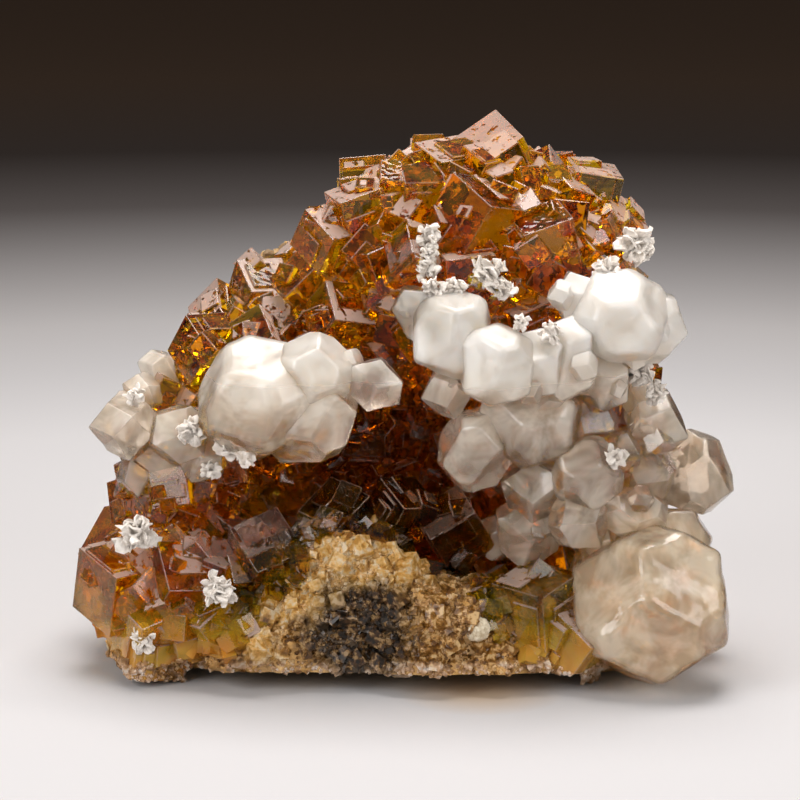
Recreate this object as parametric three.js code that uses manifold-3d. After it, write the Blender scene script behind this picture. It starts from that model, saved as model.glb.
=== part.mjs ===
// A calcite on fluorite mineral specimen, in millimetres, +Z up, seen from the front along +Y.
// Amber fluorite cubes cover the front, top and sides of a broken piece of matrix rock. Pale calcite
// crystals sit on the fluorite in four groups, with small tufts of white blades between them.
import * as THREE from "three";
import { ConvexGeometry } from "three/addons/geometries/ConvexGeometry.js";
import { mergeVertices } from "three/addons/utils/BufferGeometryUtils.js";
import Module from "manifold-3d";

// Driving dimensions

const GAP = 0.3; // clearance between two pieces that touch
const ROCK_GAP = 0.4; // the same for a rock corner, so that the flat faces between corners stay clear too
const ARCH_RISE = 6; // how far the front of the underside stands off the table
const ARCH_FRONT = -40; // y where the arch is highest
const ARCH_BACK = -6; // y where the underside reaches the table
const ARCH_LEFT = -43; // x where the left foot begins
const ARCH_RIGHT = 36; // x where the right foot begins
const REACH = 200; // half size of the cutting blocks, larger than the specimen
const CUBE_SPACING = 1.34; // distance between neighbouring cube centres, as a share of their edge
const GROUND_GROW = 1.2; // how far the coarse lumps under the cubes are grown to reach the cubes
const CUBE_SINK = 0.04; // how far a cube's centre lies under the surface, as a share of its edge
const COARSER_BEHIND = 26; // distance behind the middle over which the cubes grow to twice the size
const BACK_LIMIT = 14; // y behind which the fluorite gives way to broken rock
const BACK_TOP = 80; // z above which the fluorite also covers the back
const CANDIDATES = 500; // directions tried on each lump
const BARE = 1.02; // how far out of a lump of rock a cube's centre has to be
const BURIED = 0.97; // a place this far in from the surface of another lump is not on the outside
const HIDDEN = 1.35; // a place this deep in a calcite crystal is out of sight
const SEED = 20731;

// The form of a calcite crystal
const BARREL_LEAN = 5; // how far the barrel's faces taper towards each end, in degrees
const SHOULDER_LEAN = 57; // the angle between the axis and the narrow faces next to the barrel
const SHOULDER_SHARE = 0.97; // how far those faces stand off the rim of the barrel
const FOOT_SHARE = 0.9; // the same at the rounder foot
const RIM_DROP = 0.55; // how far the barrel's rim lies below its end, as a share of the half width
const PLAIN_WIDTH = 6; // a crystal of a smaller half width has no narrow faces
const UNEVEN = 0.05; // how far a face is moved in or out, as a share of its distance
const TILTED = 3; // how far a face is turned, in degrees

// The broken rock under and behind the crystals: centre, radii and corner count of each angular lump
const ROCK_FRONT = [
  { at: [-3, -2, 5], radius: [54, 30, 13], corners: 44 },
  { at: [-26, -19, 9], radius: [17, 12, 11], corners: 32 },
  { at: [-10, -19, 14], radius: [19, 13, 15], corners: 40 },
  { at: [4, -20.5, 10.5], radius: [20, 12.5, 12], corners: 38 },
  { at: [20, -19, 4.5], radius: [16, 13.5, 8.5], corners: 28 },
];
const ROCK_BACK = [
  { at: [5, 19, 44], radius: [45, 14, 44], corners: 34 },
  { at: [-31, 16, 31], radius: [25, 16, 30], corners: 28 },
  { at: [24, 21, 27], radius: [27, 13, 27], corners: 26 },
  { at: [-6, 21, 56], radius: [25, 11, 21], corners: 24 },
];
const ROCK_ROUGHNESS = 0.1; // how far a corner is pushed in or out, as a share of the radius

// The fluorite crust: lumps that carry the cubes, with the range of cube edges on each
const FLUORITE = {
  dome: { at: [14, 2, 79], radius: [29, 20, 24], edge: [7.5, 11] },
  peak: { at: [18, 3, 92], radius: [16, 12, 10], edge: [8, 11] },
  shoulder_right: { at: [34, 3, 82], radius: [10, 15, 13], edge: [7, 10] },
  shoulder_left: { at: [-5, 2, 84], radius: [10, 13, 12], edge: [7, 9.5] },
  slope: { at: [-22, 1, 56], radius: [20, 17, 17], edge: [6.5, 9.5] },
  left_edge: { at: [-43, -2, 38], radius: [11, 16, 17], edge: [6.5, 9] },
  base_left: { at: [-41, -4, 15], radius: [19, 23, 16], edge: [8, 12] },
  wall: { at: [2, 11, 44], radius: [46, 13, 32], edge: [6.5, 9.5] },
  right_mass: { at: [33, 3, 50], radius: [17, 16, 25], edge: [7, 9.5] },
  base_right: { at: [42, -3, 12], radius: [17, 18, 14], edge: [8, 12] },
};

// The largest fluorite cubes, placed one by one: centre, edge, and turns about X, Y and Z in degrees
const LARGE_CUBES = [
  { at: [-55.5, -14, 17.5], edge: 13.5, turn: [14, 8, 38] },
  { at: [-43, -21, 20], edge: 12, turn: [38, 20, 15] },
  { at: [-36, -23, 12], edge: 10.5, turn: [20, -30, 40] },
  { at: [-49, -20, 8], edge: 12, turn: [5, 12, 25] },
  { at: [-27, -20, 26], edge: 11, turn: [48, 10, 32] },
  { at: [-12, -14, 31], edge: 10.5, turn: [35, -12, 50] },
  { at: [0, -14, 33], edge: 9.5, turn: [20, 25, 35] },
  { at: [11, -13, 29], edge: 10.5, turn: [30, -25, 20] },
  { at: [27, -24, 16], edge: 12.5, turn: [12, -4, 52] },
  { at: [34, -25, 9], edge: 12.5, turn: [22, 28, 48] },
  { at: [20, -22, 14], edge: 8.5, turn: [40, 8, 12] },
  { at: [19, 1, 101], edge: 12, turn: [34, -22, 28] },
  { at: [9.5, -2, 99], edge: 10.5, turn: [16, 4, 30] },
  { at: [38, 3, 94.5], edge: 10, turn: [8, 12, 8] },
  { at: [42.5, 1, 87.5], edge: 9.5, turn: [22, 38, 20] },
  { at: [15, -14, 92], edge: 12, turn: [12, 28, 44] },
  { at: [28, -13.5, 88], edge: 10.5, turn: [24, -10, 20] },
  { at: [3, -16, 84], edge: 10, turn: [35, 38, 12] },
  { at: [13, -18, 81], edge: 10, turn: [6, -3, 12] },
  { at: [-14, -8, 87], edge: 9.5, turn: [30, 20, 40] },
  { at: [-8, -7, 92], edge: 9.5, turn: [12, -14, 22] },
  { at: [-28, -13, 66], edge: 10, turn: [42, -28, 20] },
  { at: [-38, -10, 65], edge: 10, turn: [28, 24, 32] },
  { at: [-12, -12, 72], edge: 9.5, turn: [40, 30, 15] },
  { at: [-19, -6, 77], edge: 8.5, turn: [36, -34, 30] },
  { at: [-28, 5, 73.5], edge: 10, turn: [30, 15, 20] },
  { at: [-19, 10, 76], edge: 11, turn: [12, -25, 35] },
  { at: [-36, 8, 68], edge: 9.5, turn: [24, 40, 10] },
];

// Calcite crystals: centre, direction of the long axis, half width, half length, spin about the axis
// and the angle between the axis and its three end faces, in degrees
const CALCITE_RIGHT = [
  { at: [3, -22, 74.5], axis: [-0.35, -0.3, 0.8], width: 4, length: 6, spin: 40, cap: 34 },
  { at: [10, -26, 71], axis: [0, 0.12, 1], width: 7.4, length: 9, spin: 30, cap: 27 },
  { at: [18.5, -30, 66], axis: [0.12, -0.05, 1], width: 6.8, length: 8.6, spin: 30, cap: 27 },
  { at: [26, -27, 65], axis: [0.1, -0.2, 1], width: 5.8, length: 8, spin: 12, cap: 34 },
  { at: [33, -26, 66], axis: [0.05, -0.1, 1], width: 4.6, length: 9, spin: 20, cap: 40 },
  { at: [34.5, -21, 77], axis: [-0.2, -0.25, 1], width: 4.2, length: 6.4, spin: 40, cap: 40 },
  { at: [42.5, -24, 74], axis: [0.3, -0.75, 0.5], width: 8.8, length: 8.6, spin: 20, cap: 30 },
  { at: [50, -19, 71], axis: [0.85, -0.3, -0.2], width: 6.6, length: 6.6, spin: 5, cap: 36 },
  { at: [40, -19, 60], axis: [0.1, -0.2, 1], width: 4.6, length: 6.4, spin: 30, cap: 34 },
  { at: [9.5, -19, 58.5], axis: [-0.5, -0.5, 0.6], width: 4.6, length: 5.4, spin: 15, cap: 38 },
  { at: [26, -19, 53], axis: [0.1, -0.35, 1], width: 9.6, length: 11, spin: 12, cap: 36 },
  { at: [15, -19, 47], axis: [0.5, -0.25, 0.85], width: 6.4, length: 9.8, spin: 45, cap: 36 },
  { at: [36, -17, 52], axis: [0.5, -0.4, 0.7], width: 5.2, length: 6.8, spin: 30, cap: 40 },
  { at: [37, -22, 42.5], axis: [0.3, -0.8, 0.35], width: 6.6, length: 7, spin: 50, cap: 32 },
  { at: [27, -17, 38.5], axis: [-0.2, -0.5, 0.8], width: 5.6, length: 6.8, spin: 22, cap: 34 },
  { at: [25.5, -15, 29.5], axis: [0.05, -0.5, 0.9], width: 5.8, length: 7.6, spin: 33, cap: 36 },
  { at: [19.5, -12, 27], axis: [-0.1, -0.1, 1], width: 3.4, length: 5, spin: 0, cap: 36 },
  { at: [35, -22, 33], axis: [-0.3, -0.4, 0.85], width: 5.2, length: 6.6, spin: 60, cap: 40 },
  { at: [43.5, -16, 46], axis: [0.3, -0.6, 0.8], width: 4.4, length: 5.2, spin: 18, cap: 40 },
  { at: [50.5, -13, 50.5], axis: [0.5, -0.6, 0.6], width: 5.4, length: 6.2, spin: 42, cap: 34 },
  { at: [49, -15, 41], axis: [0.2, -0.5, 0.9], width: 5.2, length: 6, spin: 8, cap: 36 },
  { at: [47, -11, 56], axis: [0.4, -0.4, 0.8], width: 4, length: 5, spin: 27, cap: 40 },
  { at: [59, -5, 38.5], axis: [-0.3, -0.15, 1], width: 6.2, length: 9.4, spin: 14, cap: 36 },
  { at: [46, -19, 34], axis: [0.2, -0.3, 0.9], width: 6.6, length: 6, spin: 30, cap: 30 },
  { at: [40, -17, 30], axis: [-0.3, -0.5, 0.7], width: 5, length: 6.2, spin: 52, cap: 36 },
  { at: [48.7, -25, 17], axis: [-0.08, -0.92, 0.3], width: 14.6, length: 15, spin: 30, cap: 33 },
  { at: [39.5, -19, 22], axis: [-0.5, -0.6, 0.6], width: 5.6, length: 7, spin: 38, cap: 38 },
  { at: [55.5, -15, 27], axis: [0.4, -0.2, 0.9], width: 6.2, length: 7.4, spin: 16, cap: 36 },
];
const CALCITE_LEFT = [
  { at: [-27.5, -24, 58.5], axis: [-0.45, -0.6, 0.55], width: 11, length: 11.6, spin: 30, cap: 33 },
  { at: [-16.5, -26, 64], axis: [0.2, -0.6, 0.75], width: 6.8, length: 7.2, spin: 30, cap: 32 },
  { at: [-19, -24, 54], axis: [0.9, -0.3, 0.1], width: 7.6, length: 12, spin: 25, cap: 38 },
  { at: [-5, -25, 61], axis: [0.3, -0.2, 0.9], width: 5.2, length: 5.8, spin: 28, cap: 36 },
  { at: [-10, -24, 65], axis: [0.2, -0.4, 0.9], width: 2.6, length: 3.4, spin: 0, cap: 40 },
];
const CALCITE_EDGE = [
  { at: [-54, -16, 51], axis: [-0.45, -0.4, 0.8], width: 5.4, length: 6.6, spin: 12, cap: 36 },
  { at: [-43.5, -20, 50], axis: [0.25, -0.8, 0.2], width: 5.4, length: 5.8, spin: 34, cap: 30 },
  { at: [-38.5, -19, 45], axis: [0.3, -0.3, 0.9], width: 4, length: 5.4, spin: 20, cap: 38 },
  { at: [-51, -14, 41.5], axis: [0.4, -0.2, 0.9], width: 4, length: 6.4, spin: 48, cap: 40 },
  { at: [-51, -12, 56.5], axis: [-0.1, -0.2, 1], width: 3.2, length: 4.2, spin: 5, cap: 38 },
  { at: [-47, -15, 45], axis: [-0.1, -0.8, 0.5], width: 5, length: 5.6, spin: 27, cap: 36 },
];
const CALCITE_BEHIND = [
  { at: [-48, 0, 58], axis: [-0.3, 0, 1], width: 3.4, length: 5.4, spin: 10, cap: 36 },
];

// Tufts of thin white blades: centre, reach and number of blades
const TUFTS = [
  { at: [5.2, -21.5, 83.2], reach: 3, blades: 3 },
  { at: [5.6, -20.5, 89.6], reach: 2.8, blades: 3 },
  { at: [17, -22, 82.5], reach: 4.2, blades: 4 },
  { at: [46.5, -10, 86], reach: 4.4, blades: 4 },
  { at: [-51.3, -25, 31], reach: 4.6, blades: 4 },
  { at: [-35.5, -29.5, 21], reach: 4, blades: 3 },
  { at: [-50.5, -27.5, 10.5], reach: 3.2, blades: 3 },
  { at: [11, -24.5, 79.6], reach: 3, blades: 3 },
];
const BLADE_THICKNESS = 0.9;
const BLADE_OFFSET = 0.34; // how far a blade's middle lies from the tuft's, as a share of its reach

const NODULE = { at: [15, -31.2, 13.5], radius: [2.6, 1.6, 2.5] };

// Shapes

let state = SEED;
const random = () => (state = (state * 16807) % 2147483647) / 2147483647;
const between = ([low, high]) => low + (high - low) * random();
const vector = (a) => new THREE.Vector3(...a);
const degrees = THREE.MathUtils.degToRad;

const wasm = await Module();
wasm.setup();

function solidOf(geometry) {
  const bare = geometry.clone();
  bare.deleteAttribute("normal");
  bare.deleteAttribute("uv");
  const merged = mergeVertices(bare, 1e-4);
  return new wasm.Manifold(
    new wasm.Mesh({
      numProp: 3,
      vertProperties: new Float32Array(merged.attributes.position.array),
      triVerts: new Uint32Array(merged.index.array),
    }),
  );
}

function geometryOf(solid) {
  const mesh = solid.getMesh();
  const geometry = new THREE.BufferGeometry();
  const points = new THREE.BufferAttribute(new Float32Array(mesh.vertProperties), 3);
  geometry.setAttribute("position", points);
  geometry.setIndex(new THREE.BufferAttribute(new Uint32Array(mesh.triVerts), 1));
  geometry.computeVertexNormals();
  return geometry;
}

const unionOf = (solids) => solids.reduce((a, b) => a.add(b));

function largestPiece(solid) {
  const pieces = solid.decompose();
  return pieces.reduce((a, b) => (b.volume() > a.volume() ? b : a));
}

// Directions spread evenly over a ball
function directions(count) {
  const golden = Math.PI * (3 - Math.sqrt(5));
  return Array.from({ length: count }, (_, i) => {
    const z = 1 - (2 * i + 1) / count;
    const across = Math.sqrt(1 - z * z);
    return new THREE.Vector3(Math.cos(golden * i) * across, Math.sin(golden * i) * across, z);
  });
}

// A number between -1 and 1 that only depends on the place and the count
const wobble = ([x, y, z], i) => Math.sin(12.9 * i + 1.7 * x + 2.3 * y + 3.1 * z);

// An ellipsoid, grown by a clearance
function lump({ at, radius }, grow = 0, detail = 1) {
  const geometry = new THREE.IcosahedronGeometry(1, detail);
  return solidOf(geometry.scale(...radius.map((r) => r + grow)).translate(...at));
}

// A broken lump with flat faces: the hull of corners pushed in and out of an ellipsoid
function boulder({ at, radius, corners }, grow = 0) {
  const points = directions(corners).map((d, i) => {
    const push = 1 + ROCK_ROUGHNESS * wobble(at, i);
    return d.multiply(vector(radius).addScalar(grow)).multiplyScalar(push).add(vector(at));
  });
  return solidOf(new ConvexGeometry(points));
}

function block(low, high) {
  const size = vector(high).sub(vector(low));
  const geometry = new THREE.BoxGeometry(size.x, size.y, size.z);
  const middle = vector(low).add(vector(high)).multiplyScalar(0.5);
  return solidOf(geometry.translate(middle.x, middle.y, middle.z));
}

// The wedge that lifts the front of the underside between the two feet
function archBlock() {
  const outline = new THREE.Shape();
  outline.moveTo(ARCH_FRONT, -ARCH_RISE);
  outline.lineTo(ARCH_BACK, -ARCH_RISE);
  outline.lineTo(ARCH_BACK, 0);
  outline.lineTo(ARCH_FRONT, ARCH_RISE);
  const wedge = new THREE.ExtrudeGeometry(outline, { depth: ARCH_RIGHT - ARCH_LEFT, bevelEnabled: false });
  // The outline's X becomes Y, its Y becomes Z and the extrusion runs along X.
  const axes = new THREE.Matrix4().makeBasis(vector([0, 1, 0]), vector([0, 0, 1]), vector([1, 0, 0]));
  return solidOf(wedge.applyMatrix4(axes).translate(ARCH_LEFT, 0, 0));
}

const above = block([-REACH, -REACH, 0], [REACH, REACH, REACH]);
const cutUnderside = (solid) => solid.intersect(above).subtract(archBlock());

// The convex solid inside a list of planes, each a unit normal and a distance from the origin
function polyhedron(planes) {
  const corners = [];
  const inside = (p) => planes.every(({ normal, distance }) => normal.dot(p) <= distance + 1e-6);
  planes.forEach((a, i) =>
    planes.slice(i + 1).forEach((b, j) =>
      planes.slice(i + j + 2).forEach((c) => {
        const bc = b.normal.clone().cross(c.normal);
        const determinant = a.normal.dot(bc);
        if (Math.abs(determinant) < 1e-6) return;
        const p = bc.multiplyScalar(a.distance);
        p.addScaledVector(c.normal.clone().cross(a.normal), b.distance);
        p.addScaledVector(a.normal.clone().cross(b.normal), c.distance);
        p.divideScalar(determinant);
        if (inside(p) && corners.every((q) => q.distanceTo(p) > 1e-3)) corners.push(p);
      }),
    ),
  );
  return new ConvexGeometry(corners);
}

// A plane whose normal leans away from the long axis by an angle, on a given side
function leaningPlane(side, lean, distance) {
  const normal = new THREE.Vector3(
    Math.sin(lean) * Math.cos(side),
    Math.sin(lean) * Math.sin(side),
    Math.cos(lean),
  );
  return { normal, distance };
}

// The planes of a blunt calcite crystal: a six-sided barrel with three low faces at each end, turned
// by a sixth of a turn from one end to the other, and narrow faces between the barrel and the ends
function calcitePlanes({ at, width, length, spin, cap }, grow) {
  const planes = [];
  const addFace = (side, lean, distance) => {
    const i = planes.length;
    const [turn, tilt] = [TILTED * wobble(at, 2 * i), TILTED * wobble(at, 2 * i + 1)];
    const reach = distance * (1 + UNEVEN * wobble(at, i + 0.5)) + grow;
    planes.push(leaningPlane(degrees(side + turn), degrees(lean + tilt), reach));
  };
  // The distance at which a face of a given lean touches the rim of the barrel
  const rim = length - width * RIM_DROP;
  const atRim = (lean) => width * Math.sin(degrees(lean)) + rim * Math.cos(degrees(lean));
  for (let k = 0; k < 6; k++) {
    const side = 60 * k + spin;
    const top = k % 2 === 0;
    const [end, shoulder] = top ? [cap, 180 - SHOULDER_LEAN] : [180 - cap, SHOULDER_LEAN];
    addFace(side + 30, 90 + (top ? BARREL_LEAN : -BARREL_LEAN), width);
    addFace(side, end, length * Math.cos(degrees(cap)));
    if (width < PLAIN_WIDTH) continue;
    addFace(side, shoulder, atRim(SHOULDER_LEAN) * (top ? FOOT_SHARE : SHOULDER_SHARE));
  }
  return planes;
}

function calcite(crystal, grow = 0) {
  const geometry = polyhedron(calcitePlanes(crystal, grow));
  const along = vector(crystal.axis).normalize();
  geometry.applyQuaternion(new THREE.Quaternion().setFromUnitVectors(vector([0, 0, 1]), along));
  return solidOf(geometry.translate(...crystal.at));
}

const calciteGroup = (crystals, grow = 0) => unionOf(crystals.map((c) => calcite(c, grow)));

// Places for the fluorite cubes

const reachIn = ({ at, radius }, p) =>
  Math.hypot((p.x - at[0]) / radius[0], (p.y - at[1]) / radius[1], (p.z - at[2]) / radius[2]);

function randomTurn() {
  const [a, b, c] = [random(), 2 * Math.PI * random(), 2 * Math.PI * random()];
  const [short, long] = [Math.sqrt(1 - a), Math.sqrt(a)];
  return new THREE.Quaternion(
    short * Math.sin(b),
    short * Math.cos(b),
    long * Math.sin(c),
    long * Math.cos(c),
  );
}

const isBareRock = (p, outward) =>
  p.z < 1 ||
  ROCK_FRONT.some((r) => reachIn(r, p) < BARE) ||
  (p.y > BACK_LIMIT && p.z < BACK_TOP && outward.y > 0);

function isUnderCalcite(p) {
  const crystals = [...CALCITE_RIGHT, ...CALCITE_LEFT, ...CALCITE_EDGE];
  return crystals.some(({ at, width }) => vector(at).distanceTo(p) < width * HIDDEN);
}

function cubePlaces() {
  const cubes = LARGE_CUBES.map(({ at, edge, turn }) => ({
    at: vector(at),
    edge,
    turn: new THREE.Quaternion().setFromEuler(new THREE.Euler(...turn.map(degrees))),
  }));
  for (const [name, own] of Object.entries(FLUORITE)) {
    const others = Object.entries(FLUORITE).filter(([n]) => n !== name);
    for (const d of directions(CANDIDATES)) {
      const radius = vector(own.radius);
      const p = d.clone().multiply(radius).add(vector(own.at));
      const outward = d.clone().divide(radius).normalize();
      const edge = between(own.edge) * (1 + Math.max(0, p.y) / COARSER_BEHIND);
      const turn = randomTurn();
      if (others.some(([, lump]) => reachIn(lump, p) < BURIED)) continue;
      if (isBareRock(p, outward) || isUnderCalcite(p)) continue;
      const place = p.addScaledVector(outward, -CUBE_SINK * edge);
      const clear = cubes.every((c) => c.at.distanceTo(place) > (CUBE_SPACING * (c.edge + edge)) / 2);
      if (clear) cubes.push({ at: place, edge, turn });
    }
  }
  return cubes;
}

const cube = ({ at, edge, turn }) =>
  solidOf(new THREE.BoxGeometry(edge, edge, edge).applyQuaternion(turn).translate(at.x, at.y, at.z));

// White blades that cross each other at a tuft's centre
function tuft({ at, reach, blades }, grow = 0) {
  const plates = [];
  for (let i = 0; i < blades; i++) {
    const width = reach * (1.1 + 0.7 * Math.sin(5 * i + at[0]));
    const length = reach * (1.2 + 0.4 * Math.cos(3 * i + at[2]));
    const sides = [width, length, BLADE_THICKNESS].map((side) => side + 2 * grow);
    const plate = new THREE.BoxGeometry(...sides);
    const [tip, swing] = [degrees(47 * i + 3 * at[0]), degrees(71 * i + 5 * at[2])];
    plate.rotateX(tip).rotateZ(swing);
    const out = vector([Math.cos(2.4 * i), 0.5 * Math.sin(1.7 * i), Math.sin(2.4 * i)]);
    const middle = out.multiplyScalar(reach * BLADE_OFFSET).add(vector(at));
    plates.push(solidOf(plate.translate(middle.x, middle.y, middle.z)));
  }
  return unionOf(plates);
}

// Assembly

const calciteGroups = {
  calcite_cluster_right: calciteGroup(CALCITE_RIGHT),
  calcite_group_left: calciteGroup(CALCITE_LEFT),
  calcite_group_edge: calciteGroup(CALCITE_EDGE),
  calcite_crystal_behind: calciteGroup(CALCITE_BEHIND),
};
const allCalcite = [...CALCITE_RIGHT, ...CALCITE_LEFT, ...CALCITE_EDGE, ...CALCITE_BEHIND];
const calcitePockets = calciteGroup(allCalcite, GAP);
const tuftPockets = unionOf(TUFTS.map((t) => tuft(t, GAP)));
const nodulePocket = lump(NODULE, GAP);

const ROCK = [...ROCK_FRONT, ...ROCK_BACK];
const rock = largestPiece(
  cutUnderside(unionOf(ROCK.map((r) => boulder(r))))
    .subtract(calcitePockets)
    .subtract(tuftPockets)
    .subtract(nodulePocket),
);
const rockPocket = unionOf(ROCK.map((r) => boulder(r, ROCK_GAP)));
const crust = unionOf(Object.values(FLUORITE).map((f) => lump(f, GROUND_GROW, 0)));
const cubes = cubePlaces();
const fluorite = largestPiece(
  cutUnderside(unionOf([crust, ...cubes.map(cube)]))
    .subtract(rockPocket)
    .subtract(calcitePockets)
    .subtract(tuftPockets)
    .subtract(nodulePocket),
);

const looks = {
  rock: { color: 0x8a7350, roughness: 0.9, metalness: 0 },
  fluorite: { color: 0xb8730f, roughness: 0.15, metalness: 0 },
  calcite: { color: 0xe6dfd6, roughness: 0.25, metalness: 0 },
  blades: { color: 0xf3efe9, roughness: 0.6, metalness: 0 },
  nodule: { color: 0xe3d3b0, roughness: 0.8, metalness: 0 },
};

const specimen = new THREE.Group();
function addPiece(name, solid, look) {
  const mesh = new THREE.Mesh(geometryOf(solid), new THREE.MeshStandardMaterial(looks[look]));
  mesh.name = name;
  specimen.add(mesh);
}

addPiece("matrix_rock", rock, "rock");
addPiece("fluorite_cluster", fluorite, "fluorite");
for (const [name, solid] of Object.entries(calciteGroups))
  addPiece(name, largestPiece(solid.subtract(tuftPockets)), "calcite");
TUFTS.forEach((t, i) => addPiece(`blade_tuft_${i + 1}`, tuft(t), "blades"));
addPiece("nodule", lump(NODULE), "nodule");

export default specimen;
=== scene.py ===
"""The looks of a calcite on fluorite specimen: amber cubes on broken rock, with pale calcite.

Lengths in the tables are millimetres in the part's own frame; objects are built in metres.
"""

import bisect
import math

import bmesh
import bpy
from mathutils import Matrix, Quaternion, Vector, bvhtree, kdtree, noise


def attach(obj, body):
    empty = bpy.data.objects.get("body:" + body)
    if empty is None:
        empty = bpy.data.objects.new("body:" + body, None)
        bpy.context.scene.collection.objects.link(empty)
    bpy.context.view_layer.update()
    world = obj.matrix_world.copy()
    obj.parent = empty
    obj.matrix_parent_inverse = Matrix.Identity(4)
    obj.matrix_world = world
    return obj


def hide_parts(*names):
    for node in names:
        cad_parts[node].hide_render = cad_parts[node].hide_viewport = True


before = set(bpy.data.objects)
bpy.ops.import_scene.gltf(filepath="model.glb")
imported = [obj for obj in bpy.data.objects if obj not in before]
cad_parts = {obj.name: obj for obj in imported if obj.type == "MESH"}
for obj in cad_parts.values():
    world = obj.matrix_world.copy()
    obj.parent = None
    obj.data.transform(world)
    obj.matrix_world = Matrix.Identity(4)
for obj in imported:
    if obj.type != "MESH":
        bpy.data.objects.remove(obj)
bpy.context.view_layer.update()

MM = 0.001

# The arch under the front edge, between the two feet
ARCH_RISE = 6
ARCH_FRONT = -40
ARCH_BACK = -6
ARCH_LEFT = -43
ARCH_RIGHT = 36
REACH = 200  # farther out than anything of the specimen

# Places of the part's own fluorite cubes, on the lumps of FLUORITE
SEED = 20731
CANDIDATES = 500  # places tried on each lump
CUBE_SPACING = 1.34  # least gap of two centres, as a share of their mean edge
CUBE_SINK = 0.04  # how deep a cube sits, as a share of its edge
COARSER_BEHIND = 26  # this far behind the middle, cubes are twice as large
BACK_LIMIT = 14  # the rock is bare behind this y and below BACK_TOP
BACK_TOP = 80
BARE = 1.02  # no cube lies within this share of a front rock's radius
BURIED = 0.97  # or of another lump's
HIDDEN = 1.35  # or of a calcite's

# The same for the small cubes that fill the gaps between them
FILL_CANDIDATES = 1500
FILL_EDGE = (0.42, 0.8)  # share of the edge range of the place
FILL_SPACING = 0.72
FILL_SINK = 0.06
FILL_HIDDEN = 0.9

# Small cubes grown on the part's own cubes
RIDERS = 4  # on each of them
RIDER_TOP = 108.5  # none stands higher than this
RIDER_EDGE = (0.26, 0.54)  # share of the edge of the cube below
RIDER_PROUD = (0.30, 0.46)  # distance from its middle, as a share of its edge
RIDER_SIDES = (0.5, 0.7, 0.35)  # above 0.5, they favour the low side of an axis
RIDER_TWIST = (0.3, 0.3, 0.5)  # how far those that lean are turned out of line
LEANING = 0.6  # share of them that lean

# Growth steps and worn edges of all cubes
STEPS = 3  # growth blocks on each large cube
STEP_SIZE = (0.35, 0.78)  # their size, as a share of the edge
STEP_RISE = (0.025, 0.07)  # and how far they stand out
EDGE_ROUND = 0.2  # width of the worn edges
ROUNDER_FROM = 8  # cubes larger than this have rounder ones

# The form of a calcite crystal: a six-sided barrel with three faces at each end
BARREL_LEAN = 5  # lean of the sides, in degrees
SHOULDER_LEAN = 57  # lean of the faces between the sides and the ends
SHOULDER_SHARE = 0.97  # where they cut the corner there, at the top
FOOT_SHARE = 0.9  # and at the bottom
RIM_DROP = 0.55  # height of that corner below the tip, as a share of the half width
PLAIN_WIDTH = 6  # narrower crystals have no such faces
UNEVEN = 0.05  # how much the distances of the faces vary
TILTED = 3  # and their directions, in degrees

# Overlapping boulders that make up the rock: centre, radii and number of corners
ROCK_FRONT = [
    ((-3, -2, 5), (54, 30, 13), 44),
    ((-26, -19, 9), (17, 12, 11), 32),
    ((-10, -19, 14), (19, 13, 15), 40),
    ((4, -20.5, 10.5), (20, 12.5, 12), 38),
    ((20, -19, 4.5), (16, 13.5, 8.5), 28),
]
ROCK_BACK = [
    ((5, 19, 44), (45, 14, 44), 34),
    ((-31, 16, 31), (25, 16, 30), 28),
    ((24, 21, 27), (27, 13, 27), 26),
    ((-6, 21, 56), (25, 11, 21), 24),
]
ROCK_ROUGHNESS = 0.1  # how much the corners of a boulder vary

# Lumps that carry the fluorite: centre, radii and the range of the edges of their cubes
FLUORITE = [
    ((14, 2, 79), (29, 20, 24), (7.5, 11)),  # dome
    ((18, 3, 92), (16, 12, 10), (8, 11)),  # peak
    ((34, 3, 82), (10, 15, 13), (7, 10)),  # shoulder right
    ((-5, 2, 84), (10, 13, 12), (7, 9.5)),  # shoulder left
    ((-22, 1, 56), (20, 17, 17), (6.5, 9.5)),  # slope
    ((-43, -2, 38), (11, 16, 17), (6.5, 9)),  # left edge
    ((-41, -4, 15), (19, 23, 16), (8, 12)),  # base left
    ((2, 11, 44), (46, 13, 32), (6.5, 9.5)),  # wall
    ((33, 3, 50), (17, 16, 25), (7, 9.5)),  # right mass
    ((42, -3, 12), (17, 18, 14), (8, 12)),  # base right
]
GROUND_SHARE = 0.93  # size of the plain lumps under the cubes

# Small cubes along the top of the slope: centre and edge
RIDGE_CUBES = [
    ((-24, 13, 76), 6.5),
    ((-30, 13, 72.5), 6),
    ((-18, 16, 78.5), 7),
    ((-12, 17, 80), 6.5),
    ((-26, 18, 73), 7),
    ((-33, 17, 68), 6.5),
    ((-13, 12, 81), 6),
    ((-39, 14, 63), 6),
]

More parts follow.
